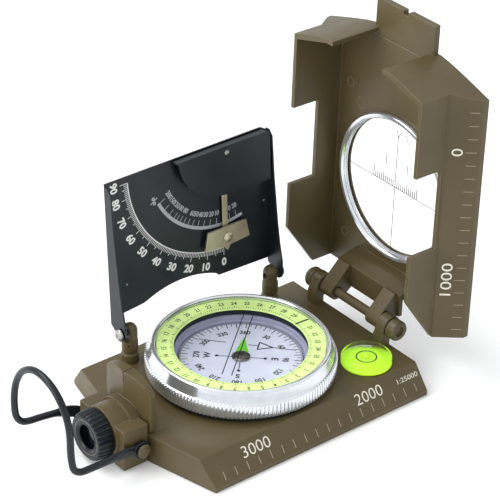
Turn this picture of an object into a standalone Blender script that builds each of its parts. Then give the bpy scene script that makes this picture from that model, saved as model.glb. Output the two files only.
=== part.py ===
"""Geology compass: a sighting compass with a folding clinometer and a lid with a reticle window.

Metres, +Z up.  +Y is the sighting direction, from the eyepiece to the lid hinge, and +X is the
user's right.  The origin is the middle of the base, on its underside.  The lid is modelled closed
and the clinometer upright, each on an empty that lies on its hinge and holds its rest angle.
"""
import math

import bmesh
import bpy
from mathutils import Matrix, Vector

MM = 0.001

# ---- base casting
BASE_HALF = 32.4        # half width at the foot
TOP_HALF = 26.9         # half width between the bevels
BASE_H = 8.6            # top face
EDGE_H = 1.7            # upright edge under the bevel
HINGE_END = 37.8
CORNER_Y = -37.6        # the eyepiece-end corner
NOSE_Y = -42.9          # the flat nose that carries the eyepiece
NOSE_HALF = 10.3

# ---- capsule and bezel, all on one upright axis
DIAL_Y = -3.5
BEZEL_R = 26.9
KNURL_Z = (9.9, 14.3)
RIM_Z = 17.9
RIM_R = 25.0
WELL_R = 22.7
CARD_R = 17.2
CARD_Z = 12.8

# ---- lid
HINGE_Y = 38.1
HINGE_Z = 14.35
CLOSED_H = 28.4
LID_ANGLE = 91.4        # open angle at rest
LID_DEPTH = 18.9
LID_END = 37.95
LID_CORNER = -36.3
LID_NOSE = -41.7
TAB_END = -50.2
TAB_HALF = 11.7
WALL_OUT = 26.3
WALL_IN = 25.1
PLATE_T = 1.8
WINDOW_Y = 4.3
WINDOW_R = 21.2

# ---- clinometer
POST_X = -22.5
POST_Y = 25.2
POST_R = 2.2
FOLD_Z = 18.0
LEAN = 3.2
PLATE_HALF = 28.3
PLATE_TOP = 45.3
FACE_X = -3.9           # the scale face, behind the fold axis
PEND_Y = 11.6
PEND_H = 43.0

# ---- eyepiece and thumb loop
EYE_Z = 8.1
BLOCK_HALF = 10.1
LOOP_Y = -46.1
LOOP_Z = 6.1

FINENESS = 0.6          # sides of every turned piece, against a fine one

for old in list(bpy.data.objects):
    bpy.data.objects.remove(old, do_unlink=True)

SCENE = bpy.context.scene


def material(name, colour, rough, metal=0.0, alpha=1.0):
    """A Principled material."""
    mat = bpy.data.materials.new(name)
    mat.use_nodes = True
    bsdf = next(n for n in mat.node_tree.nodes if n.type == 'BSDF_PRINCIPLED')
    bsdf.inputs['Base Color'].default_value = (*colour, 1.0)
    bsdf.inputs['Roughness'].default_value = rough
    bsdf.inputs['Metallic'].default_value = metal
    if alpha < 1.0:
        bsdf.inputs['Transmission Weight'].default_value = 1.0 - alpha
    return mat


OLIVE = material('olive paint', (0.105, 0.075, 0.045), 0.42)
BLACK = material('black sheet', (0.012, 0.014, 0.017), 0.38)
WIRE = material('black wire', (0.015, 0.017, 0.02), 0.3)
CHROME = material('bright bezel', (0.78, 0.79, 0.8), 0.18, 1.0)
STEEL = material('steel', (0.45, 0.43, 0.4), 0.32, 1.0)
BRASS = material('brass', (0.55, 0.4, 0.17), 0.3, 1.0)
LIME = material('fluorescent green', (0.62, 0.95, 0.12), 0.45)
CARD = material('card', (0.55, 0.57, 0.7), 0.5)
NICKEL = material('nickel', (0.5, 0.45, 0.34), 0.34, 1.0)
CLEAR = material('clear plastic', (0.95, 0.97, 0.97), 0.04, 0.0, 0.05)
GLASS = material('glass', (0.97, 0.98, 0.98), 0.02, 0.0, 0.05)


def empty(name, place, turn=(0.0, 0.0, 0.0)):
    """An empty on a joint's axis, for the pieces that move about it."""
    ob = bpy.data.objects.new(name, None)
    ob.empty_display_size = 0.01
    ob.location = Vector(place) * MM
    ob.rotation_euler = [math.radians(a) for a in turn]
    SCENE.collection.objects.link(ob)
    return ob


def make(name, bm, mat=None, parent=None, at=(0.0, 0.0, 0.0), turn=(0.0, 0.0, 0.0), smooth=True):
    """A mesh object from a bmesh in millimetres, placed at `at` in its parent's frame."""
    bmesh.ops.recalc_face_normals(bm, faces=bm.faces)
    bmesh.ops.scale(bm, vec=(MM, MM, MM), verts=bm.verts)
    mesh = bpy.data.meshes.new(name)
    bm.to_mesh(mesh)
    bm.free()
    if smooth:
        mesh.shade_smooth()
        mesh.set_sharp_from_angle(angle=math.radians(32))
    ob = bpy.data.objects.new(name, mesh)
    SCENE.collection.objects.link(ob)
    if mat:
        mesh.materials.append(mat)
    ob.parent = parent
    ob.location = Vector(at) * MM
    ob.rotation_euler = [math.radians(a) for a in turn]
    return ob


def ring(bm, points):
    """A closed loop of vertices."""
    return [bm.verts.new(p) for p in points]


def loft(sections, caps=True):
    """A closed body through sections that have the same number of points."""
    bm = bmesh.new()
    loops = [ring(bm, s) for s in sections]
    for a, b in zip(loops, loops[1:]):
        for i in range(len(a)):
            j = (i + 1) % len(a)
            bm.faces.new((a[i], a[j], b[j], b[i]))
    if caps:
        bm.faces.new(list(reversed(loops[0])))
        bm.faces.new(loops[-1])
    return bm


def prism(outline, axis, low, high):
    """An outline drawn in the plane across `axis` and extruded from low to high."""
    def put(p, t):
        if axis == 'X':
            return (t, p[0], p[1])
        if axis == 'Y':
            return (p[0], t, p[1])
        return (p[0], p[1], t)
    return loft([[put(p, low) for p in outline], [put(p, high) for p in outline]])


def box(x, y, z):
    """A box from three (low, high) pairs."""
    return prism([(x[0], y[0]), (x[1], y[0]), (x[1], y[1]), (x[0], y[1])], 'Z', z[0], z[1])


def disc(radius, n=48, centre=(0.0, 0.0), start=0.0):
    """The outline of a circle."""
    steps = [start + 2 * math.pi * i / n for i in range(n)]
    return [(centre[0] + radius * math.cos(a), centre[1] + radius * math.sin(a)) for a in steps]


def arc(centre, radius, first, last, n):
    """Points along an arc, angles in degrees."""
    out = []
    for i in range(n + 1):
        a = math.radians(first + (last - first) * i / n)
        out.append((centre[0] + radius * math.cos(a), centre[1] + radius * math.sin(a)))
    return out


def turned(profile, n=48, axis='Z'):
    """A body of revolution.  The profile is a closed loop of (radius, along) or starts and
    ends on the axis, where its radius is 0."""
    n = max(8, 2 * round(n * FINENESS / 2))
    bm = bmesh.new()
    solid = profile[0][0] == 0.0 and profile[-1][0] == 0.0
    rows = []
    for radius, along in profile:
        count = 1 if radius == 0.0 else n
        row = []
        for i in range(count):
            a = 2 * math.pi * i / n
            p = (radius * math.cos(a), radius * math.sin(a), along)
            if axis == 'X':
                p = (p[2], p[0], p[1])
            if axis == 'Y':
                p = (p[1], p[2], p[0])
            row.append(bm.verts.new(p))
        rows.append(row)
    pairs = list(zip(rows, rows[1:]))
    if not solid:
        pairs.append((rows[-1], rows[0]))
    for a, b in pairs:
        for i in range(n):
            j = (i + 1) % n
            corners = [a[i % len(a)], a[j % len(a)], b[j % len(b)], b[i % len(b)]]
            face = []
            for v in corners:
                if v not in face:
                    face.append(v)
            if len(face) > 2:
                bm.faces.new(face)
    return bm


def tube_profile(r_in, r_out, low, high):
    """The section of a plain ring."""
    return [(r_in, low), (r_out, low), (r_out, high), (r_in, high)]


def shifted(bm, offset):
    """The bmesh moved by an offset in millimetres."""
    bmesh.ops.translate(bm, vec=offset, verts=bm.verts)
    return bm


def boolean(ob, other, how):
    """A live Boolean with a hidden cutter or joint piece."""
    other.hide_render = True
    other.display_type = 'WIRE'
    mod = ob.modifiers.new(how.lower(), 'BOOLEAN')
    mod.operation = how
    mod.solver = 'EXACT'
    mod.object = other


def tool(bm, parent=None, at=(0.0, 0.0, 0.0)):
    """A hidden solid that shapes another one."""
    return make('tool', bm, None, parent, at, smooth=False)


def cut(ob, bm, at=(0.0, 0.0, 0.0)):
    boolean(ob, tool(bm, ob.parent, at), 'DIFFERENCE')


def join(ob, bm, at=(0.0, 0.0, 0.0)):
    boolean(ob, tool(bm, ob.parent, at), 'UNION')


def keep(ob, bm, at=(0.0, 0.0, 0.0)):
    boolean(ob, tool(bm, ob.parent, at), 'INTERSECT')


# =============================================================== base
section = [(-BASE_HALF, 0.0), (BASE_HALF, 0.0), (BASE_HALF, EDGE_H), (TOP_HALF, BASE_H),
           (-TOP_HALF, BASE_H), (-BASE_HALF, EDGE_H)]
base = make('base_body', prism(section, 'Y', NOSE_Y, HINGE_END), OLIVE)
SLANT = (CORNER_Y - NOSE_Y) / (BASE_HALF - NOSE_HALF)
for side in (-1, 1):
    far = CORNER_Y + SLANT * 3.0
    wedge = [(side * NOSE_HALF, NOSE_Y), (side * (BASE_HALF + 3.0), far),
             (side * (BASE_HALF + 3.0), NOSE_Y - 3.0), (side * NOSE_HALF, NOSE_Y - 3.0)]
    cut(base, prism(wedge, 'Z', -1.0, BASE_H + 1.0))
for side in (-1, 1):
    lug = [(34.0, BASE_H - 1.0), (37.6, BASE_H - 1.0), (37.6, 10.6)]
    lug += arc((HINGE_Y, HINGE_Z), 3.2, -62, 180, 16) + [(34.0, 12.2)]
    low, high = sorted((side * 12.7, side * 16.2))
    join(base, prism(lug, 'X', low, high))
cut(base, turned([(0.0, 2.6), (WELL_R, 2.6), (WELL_R, 12.0), (0.0, 12.0)], 72), (0, DIAL_Y, 0))
cut(base, box((-28.0, 28.0), (-26.5, 34.5), (-1.0, 1.3)))
cut(base, turned([(0.0, -1.0), (4.9, -1.0), (4.9, 7.3), (0.0, 7.3)], 32), (0, -32.5, 0))
PLATE_SCREWS = [(-25.0, -23.5), (25.0, -23.5), (-25.0, 31.5), (25.0, 31.5)]
for x, y in PLATE_SCREWS:
    cut(base, turned([(0.0, 0.5), (1.2, 0.5), (1.2, 5.2), (0.0, 5.2)], 16), (x, y, 0))
HOUSING_SCREWS = [(-6.3, -41.3), (6.3, -41.3)]
for x, y in HOUSING_SCREWS:
    hole = [(0.0, -1.0), (1.35, -1.0), (1.35, 1.9), (0.8, 1.9), (0.8, 9.5), (0.0, 9.5)]
    cut(base, turned(hole, 16), (x, y, 0))
for side in (-1, 1):
    cut(base, turned([(0.0, 3.6), (1.6, 3.6), (1.6, 9.5), (0.0, 9.5)], 20),
        (POST_X, side * POST_Y, 0))
pin_bore = [(0.0, -20.0), (1.65, -20.0), (1.65, 20.0), (0.0, 20.0)]
cut(base, turned(pin_bore, 24, 'X'), (0, HINGE_Y, HINGE_Z))
VIAL = (18.9, 26.4)
cut(base, turned([(0.0, 5.4), (6.8, 5.4), (6.8, 9.5), (0.0, 9.5)], 40), (VIAL[0], VIAL[1], 0))

plate = make('base_plate', box((-27.7, 27.7), (-26.2, 34.2), (0.0, 1.0)), OLIVE)
for x, y in PLATE_SCREWS:
    seat = [(0.0, -0.5), (2.5, -0.5), (2.3, 0.0), (1.3, 0.85), (1.3, 2.0), (0.0, 2.0)]
    cut(plate, turned(seat, 20), (x, y, 0))
for i, (x, y) in enumerate(PLATE_SCREWS):
    body = [(0.0, 0.35), (0.35, 0.1), (1.95, 0.1), (1.0, 0.95), (1.0, 4.6), (0.0, 4.9)]
    make('base_screw_%d' % (i + 1), turned(body, 16), STEEL, at=(x, y, 0))
bush = [(2.8, 0.1), (4.3, 0.1), (4.6, 0.5), (4.6, 6.6), (4.3, 7.0), (2.8, 7.0)]
make('tripod_bush', turned(bush, 32), BRASS, at=(0, -32.5, 0))
for i, (x, y) in enumerate(HOUSING_SCREWS):
    body = [(0.0, 0.2), (1.15, 0.2), (1.15, 1.6), (0.6, 1.6), (0.6, 11.4), (0.0, 11.8)]
    make('housing_screw_%d' % (i + 1), turned(body, 16), STEEL, at=(x, y, 0))

# =============================================================== capsule
axis = (0, DIAL_Y, 0)
cup = [(0.0, 2.9), (21.6, 2.9), (22.2, 3.5), (22.2, 14.1), (20.6, 14.1), (20.6, 9.6), (19.0, 8.4),
       (19.0, 5.6), (1.3, 5.6), (1.3, 4.2), (0.0, 4.2)]
make('capsule_cup', turned(cup, 72), CLEAR, at=axis)
lens = [(0.0, 14.4), (22.2, 14.4), (22.2, 15.3), (0.0, 15.3)]
make('capsule_cover', turned(lens, 64), GLASS, at=axis)
rim = [(1.2, CARD_Z - 0.6), (16.4, CARD_Z - 0.6), (16.6, CARD_Z - 3.0), (17.2, CARD_Z - 3.0),
       (CARD_R, CARD_Z), (1.2, CARD_Z)]
spin = empty('card_axis', axis)
make('compass_card', turned(rim, 72), CARD, spin)
bar = make('card_magnet', box((-2.2, 2.2), (-11.0, 11.0), (CARD_Z - 3.4, CARD_Z - 0.9)), STEEL,
           spin)
cut(bar, turned([(0.0, 0.0), (1.4, 0.0), (1.4, 20.0), (0.0, 20.0)], 20))
cap = turned([(0.0, 12.3), (0.45, 11.9), (0.45, 10.9), (0.9, 10.9), (0.9, CARD_Z + 0.2),
              (2.5, CARD_Z + 0.2), (2.5, CARD_Z + 0.5), (0.9, CARD_Z + 0.9), (0.0, CARD_Z + 1.0)],
             24)
make('pivot_cap', cap, STEEL, spin)
spike = [(0.0, 4.5), (1.0, 4.5), (1.0, 6.2), (0.5, 6.6), (0.35, 10.6), (0.0, 11.6)]
make('pivot_pin', turned(spike, 16), STEEL, at=axis)

# =============================================================== bezel
turn = empty('bezel_axis', axis)
bezel = [(22.7, KNURL_Z[0]), (26.5, KNURL_Z[0]), (BEZEL_R, KNURL_Z[0] + 0.4),
         (BEZEL_R, KNURL_Z[1] - 0.3), (26.5, KNURL_Z[1]), (RIM_R + 0.2, RIM_Z - 0.5),
         (RIM_R, RIM_Z - 0.1), (RIM_R - 0.2, RIM_Z), (24.2, RIM_Z), (23.8, RIM_Z - 0.4),
         (23.8, 15.75), (22.7, 15.75)]
make('bezel_ring', turned(bezel, 96), CHROME, turn)
make('dial_ring', turned(tube_profile(18.7, 23.5, 15.95, 16.4), 72), LIME, turn)
make('bezel_glass', turned([(0.0, 16.6), (23.5, 16.6), (23.5, 17.3), (0.0, 17.3)], 64), GLASS, turn)
make('bearing_ring', turned(tube_profile(23.2, 25.8, 8.85, 9.6), 48), BLACK, at=axis)

# =============================================================== bubble level
well = [(0.0, 5.7), (6.5, 5.7), (6.5, 8.85), (7.2, 8.85), (7.2, 9.35), (6.9, 9.6), (5.9, 9.7),
        (5.2, 8.2), (0.0, 8.2)]
make('vial_base', turned(well, 40), LIME, at=(VIAL[0], VIAL[1], 0))
dome = [(0.0, 8.5), (5.0, 8.5), (5.75, 9.95), (6.75, 9.95), (6.85, 10.7), (6.4, 11.1), (0.0, 11.25)]
make('vial_dome', turned(dome, 40), CLEAR, at=(VIAL[0], VIAL[1], 0))

# =============================================================== lid, modelled closed
HP = (HINGE_Y, HINGE_Z)
lid_axis = empty('lid_axis', (0, HINGE_Y, HINGE_Z), (-LID_ANGLE, 0, 0))


def lid_at(x, y, z):
    """A closed-lid position in the hinge's frame."""
    return (x, y - HINGE_Y, z - HINGE_Z)


low_z = CLOSED_H - LID_DEPTH
bevel_z = CLOSED_H - BASE_H
section = [(-BASE_HALF, CLOSED_H), (-BASE_HALF, CLOSED_H - EDGE_H), (-TOP_HALF, bevel_z + 0.1),
           (-WALL_OUT, bevel_z - 0.2), (-WALL_OUT, low_z), (WALL_OUT, low_z),
           (WALL_OUT, bevel_z - 0.2), (TOP_HALF, bevel_z + 0.1), (BASE_HALF, CLOSED_H - EDGE_H),
           (BASE_HALF, CLOSED_H)]
origin = lid_at(0, 0, 0)
lid = make('lid_shell', prism(section, 'Y', LID_NOSE, LID_END), OLIVE, lid_axis, origin)
LSLANT = (LID_CORNER - LID_NOSE) / (BASE_HALF - 12.8)
for side in (-1, 1):
    wedge = [(side * 12.8, LID_NOSE), (side * 17.5, -40.75), (side * 22.5, -39.35),
             (side * BASE_HALF, LID_CORNER), (side * (BASE_HALF + 3.0), LID_CORNER + LSLANT * 3.0),
             (side * (BASE_HALF + 3.0), LID_NOSE - 3.0), (side * 12.8, LID_NOSE - 3.0)]
    cut(lid, prism(wedge, 'Z', low_z - 1.0, CLOSED_H + 1.0), origin)
in_z = CLOSED_H - PLATE_T
inner = [(-12.8, LID_NOSE + 1.3), (-WALL_IN, LID_CORNER + LSLANT * 6.6 * -1.0 + 1.3),
         (-WALL_IN, LID_END + 2.0), (WALL_IN, LID_END + 2.0),
         (WALL_IN, LID_CORNER + LSLANT * 6.6 * -1.0 + 1.3), (12.8, LID_NOSE + 1.3)]
cut(lid, prism(inner, 'Z', low_z - 1.0, in_z), origin)
cut(lid, box((-10.3, 10.3), (LID_NOSE - 2.0, LID_NOSE + 3.0), (low_z - 1.0, in_z)), origin)
for side in (-1, 1):
    gap = [(-15.3, low_z - 1.0), (9.1, low_z - 1.0), (9.1, 18.6), (-15.3, 18.6)]
    end = [(23.5, low_z - 1.0), (LID_END + 1.0, low_z - 1.0), (LID_END + 1.0, bevel_z),
           (LID_END, bevel_z), (23.5, low_z)]
    low, high = sorted((side * 24.0, side * 29.0))
    cut(lid, prism(gap, 'X', low, high), origin)
    cut(lid, prism(end, 'X', low, high), origin)
tab = make('tool', box((-TAB_HALF, TAB_HALF), (TAB_END, LID_NOSE + 1.5), (26.4, CLOSED_H)), None,
           lid_axis, origin, smooth=False)
boolean(lid, tab, 'UNION')
cut(lid, box((-1.0, 1.0), (TAB_END - 1.0, TAB_END + 1.1), (25.0, CLOSED_H + 1.0)), origin)
for side in (-1, 1):
    arm = [(31.2, 20.3), (30.5, 18.3)] + arc(HP, 2.6, 225, 372, 16) + [(40.2, 17.2), (37.9, 20.3)]
    low, high = sorted((side * 7.4, side * 12.4))
    join(lid, prism(arm, 'X', low, high), origin)
sill = [(29.2, in_z + 0.4), (31.1, 19.3), (38.0, 19.3), (38.0, 20.7), (32.4, 20.7), (30.8, in_z + 0.4)]
join(lid, prism(sill, 'X', -13.4, 13.4), origin)
cut(lid, turned(pin_bore, 24, 'X'))
cut(lid, turned([(0.0, 0.0), (WINDOW_R, 0.0), (WINDOW_R, 27.95), (20.4, 27.95), (20.4, 40.0),
                 (0.0, 40.0)], 72), lid_at(0, WINDOW_Y, 0))

at_window = lid_at(0, WINDOW_Y, 0)
frame = [(20.5, 25.2), (21.9, 25.2), (22.2, 25.5), (22.2, 26.3), (21.0, 26.3), (21.0, 26.85),
         (20.5, 26.85)]
make('window_ring', turned(frame, 72), CHROME, lid_axis, at_window)
pane = [(0.0, 27.0), (20.9, 27.0), (20.9, 27.8), (0.0, 27.8)]
make('window_glass', turned(pane, 64), GLASS, lid_axis, at_window)

# =============================================================== lid hinge
pin = [(0.0, -16.6), (1.4, -16.6), (1.4, 16.55), (3.0, 16.55), (3.0, 18.9), (2.6, 19.4), (0.0, 19.4)]
make('hinge_pin', turned(pin, 32, 'X'), OLIVE, at=(0, HINGE_Y, HINGE_Z))
nut = [(0.0, -19.4), (2.6, -19.4), (3.0, -18.9), (3.0, -16.55), (1.7, -16.55), (1.7, -16.85),
       (0.0, -16.85)]
make('hinge_nut', turned(nut, 32, 'X'), OLIVE, at=(0, HINGE_Y, HINGE_Z))

# =============================================================== clinometer, modelled upright
fold = empty('fold_axis', (POST_X, 0, FOLD_Z), (0, -LEAN, 0))


def flange(side):
    """One bent side of the sheet: (height, depth forward of the face) down to its round foot."""
    t = 0.5
    front = FACE_X
    outline = [(front - t, PLATE_TOP - 0.9), (front + 0.9, PLATE_TOP - 0.9),
               (front + 2.3, PLATE_TOP - 2.6), (front + 2.9, 30.0), (front + 4.1, 16.0),
               (front + 5.0, 9.0), (front + 6.0, 4.0)]
    outline += arc((0.0, 0.0), 2.2, 4, -176, 14)
    outline += [(front - t, 1.6)]
    inner = side * (PLATE_HALF - t)
    outer = side * PLATE_HALF
    return loft([[(x, inner, z) for x, z in outline], [(x, outer, z) for x, z in outline]])


arch = [(PLATE_HALF, 2.9), (PLATE_HALF, PLATE_TOP - 3.6)]
arch += arc((PLATE_HALF - 3.2, PLATE_TOP - 3.6), 3.2, 10, 90, 6)
arch += [(-PLATE_HALF, PLATE_TOP), (-PLATE_HALF, 3.4), (-17.3, 4.3)]
chord = 26.8
sag = 3.0
bow = chord * chord / (8.0 * sag) + sag / 2.0
for i in range(1, 12):
    y = -17.3 + chord * i / 12.0
    arch.append((y, 4.1 + sag - bow + math.sqrt(bow * bow - (y + 17.3 - chord / 2.0) ** 2)))
arch += [(9.5, 3.6)]
sheet = make('clino_plate', prism(arch, 'X', FACE_X - 0.5, FACE_X), BLACK, fold)
for side in (-1, 1):
    join(sheet, flange(side))
eye = [(0.0, -40.0), (1.0, -40.0), (1.0, 40.0), (0.0, 40.0)]
cut(sheet, turned(eye, 20, 'Y'))
cut(sheet, turned([(0.0, -8.0), (0.85, -8.0), (0.85, 0.0), (0.0, 0.0)], 16, 'X'),
    (0, PEND_Y, PEND_H))

hood = [(27.2, 29.6), (27.2, PLATE_TOP - 0.4), (-5.6, PLATE_TOP - 0.4), (-5.0, 43.6), (-3.9, 41.4),
        (-2.4, 39.0), (-0.5, 36.7), (2.0, 34.5), (4.8, 32.6), (7.4, 31.3), (10.2, 30.3), (13.0, 29.8)]
cover = make('clino_cover', prism(hood, 'X', -2.0, -1.5), BLACK, fold)
lip = box((-3.65, -1.6), (-5.6, 27.2), (PLATE_TOP - 0.9, PLATE_TOP - 0.4))
join(cover, lip)
join(cover, box((-3.65, -1.6), (26.7, 27.2), (29.6, PLATE_TOP - 0.4)))
cut(cover, turned([(0.0, -8.0), (0.85, -8.0), (0.85, 0.0), (0.0, 0.0)], 16, 'X'),
    (0, PEND_Y, PEND_H))
cut(cover, box((-5.0, -2.2), (PEND_Y - 2.4, PEND_Y + 2.4), (42.0, 46.0)))

swing = empty('pendulum_axis', (0, PEND_Y, PEND_H))
swing.parent = fold
eyelet = disc(1.8, 24, (0.0, 0.0))
needle = make('pendulum_needle', prism(eyelet, 'X', -3.3, -2.9), NICKEL, swing)
join(needle, box((-3.3, -2.9), (-1.1, 1.1), (-31.0, -0.9)))
cut(needle, turned([(0.0, -8.0), (0.85, -8.0), (0.85, 0.0), (0.0, 0.0)], 16, 'X'))
cut(needle, turned([(0.0, -8.0), (0.9, -8.0), (0.9, 0.0), (0.0, 0.0)], 16, 'X'), (0, 0, -28.4))
blade = [(-6.9, -25.2), (6.9, -25.2), (8.1, -31.2), (1.2, -31.6), (0.0, -33.0), (-1.2, -31.6),
         (-8.1, -31.2)]
weight = make('pendulum_weight', prism(blade, 'X', -2.75, -2.05), NICKEL, swing)
cut(weight, turned([(0.0, -8.0), (0.9, -8.0), (0.9, 0.0), (0.0, 0.0)], 16, 'X'), (0, 0, -28.4))
stud = [(0.0, -3.75), (1.0, -3.75), (1.4, -3.45), (0.7, -3.45), (0.7, -1.9), (1.5, -1.9),
        (1.2, -1.5), (0.0, -1.35)]
make('pendulum_rivet', turned(stud, 20, 'X'), NICKEL, swing, (0, 0, -28.4))
stud = [(0.0, -4.95), (1.3, -4.85), (1.3, -4.55), (0.6, -4.55), (0.6, -1.35), (1.15, -1.35),
        (1.0, -1.05), (0.0, -0.95)]
make('pendulum_pin', turned(stud, 20, 'X'), STEEL, fold, (0, PEND_Y, PEND_H))

for side, name in ((-1, 'rear'), (1, 'front')):
    foot = [(0.0, 4.0), (1.3, 4.0), (1.3, 8.9), (POST_R, 8.9), (POST_R, 11.3), (1.95, 11.5),
            (1.95, 11.9), (POST_R, 12.1), (POST_R, 19.2), (1.7, 20.2), (0.9, 20.7), (0.0, 20.8)]
    post = make('post_%s' % name, turned(foot, 32), OLIVE, at=(POST_X, side * POST_Y, 0))
    bore = [(0.0, 0.0), (0.95, 0.0), (0.95, 5.0), (0.0, 5.0)]
    bore = [(r, side * a) for r, a in bore]
    cut(post, turned(bore, 16, 'Y'), (POST_X, side * (POST_Y - 0.8), FOLD_Z))
    screw = [(0.0, 24.7), (0.7, 24.7), (0.7, 28.6), (1.9, 28.6), (1.7, 29.3), (0.0, 29.6)]
    screw = [(r, side * a) for r, a in screw]
    make('fold_screw_%s' % name, turned(screw, 20, 'Y'), STEEL, at=(POST_X, 0, FOLD_Z))

# =============================================================== eyepiece
block = make('eyepiece_housing', box((-BLOCK_HALF, BLOCK_HALF), (-51.2, -43.2), (0.4, 12.75)), OLIVE)
join(block, turned([(0.0, -51.6), (7.3, -51.6), (7.3, -42.9), (0.0, -42.9)], 48, 'Y'),
     (0, 0, EYE_Z))
leaf = [(-9.9, 8.9), (9.9, 8.9), (9.9, 19.9)]
leaf += [(9.9 * math.cos(math.radians(a)), 19.9 + 4.3 * math.sin(math.radians(a)))
         for a in (15, 30, 45, 60, 75, 90, 105, 120, 135, 150, 165)]
leaf += [(-9.9, 19.9)]
sight = tool(prism(leaf, 'Y', -44.6, -40.4))
vee = [(0.0, -43.9), (12.0, -41.9), (12.0, -47.0), (-12.0, -47.0), (-12.0, -41.9)]
cut(sight, prism(vee, 'Z', 5.0, 30.0))
boolean(block, sight, 'UNION')
cut(block, box((-0.4, 0.4), (-46.0, -38.0), (19.1, 26.0)))
bore = [(0.0, -53.0), (5.3, -53.0), (5.3, -45.4), (2.6, -45.4), (2.6, -44.0), (0.0, -44.0)]
cut(block, turned(bore, 40, 'Y'), (0, 0, EYE_Z))
for side in (-1, 1):
    bore = [(0.0, 8.0), (1.25, 8.0), (1.25, 12.0), (0.0, 12.0)]
    cut(block, turned([(r, side * a) for r, a in bore], 16, 'X'), (0, LOOP_Y, LOOP_Z))
for x, y in HOUSING_SCREWS:
    cut(block, turned([(0.0, 6.0), (0.8, 6.0), (0.8, 12.1), (0.0, 12.1)], 16), (x, y, 0))

knob_axis = empty('knob_axis', (0, 0, EYE_Z))
knob = [(5.45, -51.95), (7.1, -51.95), (7.25, -52.3), (6.75, -56.3), (6.4, -56.6), (4.3, -56.6),
        (3.5, -56.2), (3.5, -55.95), (5.45, -55.95)]
make('focus_knob', turned(knob, 56, 'Y'), BLACK, knob_axis)
slide = empty('lens_axis', (0, 0, EYE_Z))
make('lens_tube', turned([(4.1, -54.7), (5.0, -54.7), (5.0, -46.6), (4.1, -46.6)], 40, 'Y'), BLACK,
     slide)
for name, low, high in (('eye_lens', -54.2, -53.0), ('field_lens', -49.2, -48.2)):
    bulge = [(0.0, low - 0.25), (2.2, low - 0.15), (3.85, low + 0.2), (3.85, high - 0.2),
             (2.2, high + 0.15), (0.0, high + 0.25)]
    make(name, turned(bulge, 32, 'Y'), GLASS, slide)

# =============================================================== thumb loop
loop_axis = empty('loop_axis', (0, LOOP_Y, LOOP_Z))
route = [(11.1, -48.3, 6.5), (11.4, -51.5, 7.3), (11.6, -57.5, 7.6), (11.6, -63.4, 7.7),
         (11.5, -66.2, 7.9), (11.2, -67.9, 9.0), (11.0, -68.5, 11.2), (10.8, -68.7, 15.0),
         (10.6, -68.7, 19.0), (10.0, -68.8, 22.8), (8.4, -68.9, 26.4), (5.8, -69.0, 29.4),
         (2.0, -69.0, 31.7), (-3.0, -69.0, 32.8), (-7.6, -69.0, 32.0), (-11.6, -69.1, 29.2),
         (-14.2, -69.2, 25.0), (-15.2, -69.4, 20.4), (-15.3, -69.4, 16.0), (-15.0, -69.1, 12.8),
         (-14.4, -67.9, 11.0), (-14.0, -65.6, 10.3), (-13.6, -61.5, 9.8), (-13.1, -56.0, 9.1),
         (-12.2, -51.5, 7.9), (-11.1, -48.3, 6.6)]


def smooth_path(points, per):
    """A smooth curve through the points."""
    pts = [Vector(p) for p in points]
    pts = [pts[0] * 2 - pts[1]] + pts + [pts[-1] * 2 - pts[-2]]
    out = []
    for k in range(1, len(pts) - 2):
        a, b, c, d = pts[k - 1:k + 3]
        for i in range(per):
            t = i / per
            out.append(0.5 * (2 * b + (c - a) * t + (2 * a - 5 * b + 4 * c - d) * t * t
                              + (3 * b - a - 3 * c + d) * t * t * t))
    out.append(pts[-2])
    return out


def swept(points, radius, sides):
    """A round bar along a path."""
    sections = []
    up = Vector((1.0, 0.0, 0.0))
    for i, p in enumerate(points):
        ahead = points[min(i + 1, len(points) - 1)] - points[max(i - 1, 0)]
        ahead.normalize()
        up = up - ahead * up.dot(ahead)
        up.normalize()
        across = ahead.cross(up)
        row = []
        for k in range(sides):
            a = 2 * math.pi * k / sides
            row.append(p + (up * math.cos(a) + across * math.sin(a)) * radius)
        sections.append(row)
    return loft(sections)


to_loop = (0, -LOOP_Y, -LOOP_Z)
wire = make('thumb_loop', shifted(swept(smooth_path(route, 2), 1.0, 8), to_loop), WIRE, loop_axis)
for side in (-1, 1):
    pad = [(-2.6, 1.2), (-1.5, 2.3), (0.6, 2.5), (2.2, 1.6), (2.7, 0.0), (2.2, -1.6), (0.6, -2.5),
           (-1.5, -2.3), (-2.9, -0.6)]
    low, high = sorted((side * 10.5, side * 11.7))
    join(wire, prism(pad, 'X', low, high))
    bolt = [(0.0, 8.3), (1.0, 8.3), (1.0, 12.0), (2.0, 12.0), (1.8, 12.8), (0.0, 13.0)]
    bolt = [(r, side * a) for r, a in bolt]
    make('loop_screw_%s' % ('right' if side == 1 else 'left'), turned(bolt, 20, 'X'), OLIVE,
         at=(0, LOOP_Y, LOOP_Z))
cut(wire, turned([(0.0, -20.0), (1.35, -20.0), (1.35, 20.0), (0.0, 20.0)], 20, 'X'))
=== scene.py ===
"""Geology compass: the visual model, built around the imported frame.

Pieces are drawn in millimetres in the same frames as the CAD part: the base's own frame, the lid
closed, the clinometer upright.  They are then put at their rest place and ride on a CAD body.
"""
import math

import bmesh
import bpy
from mathutils import Matrix, Vector


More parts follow.
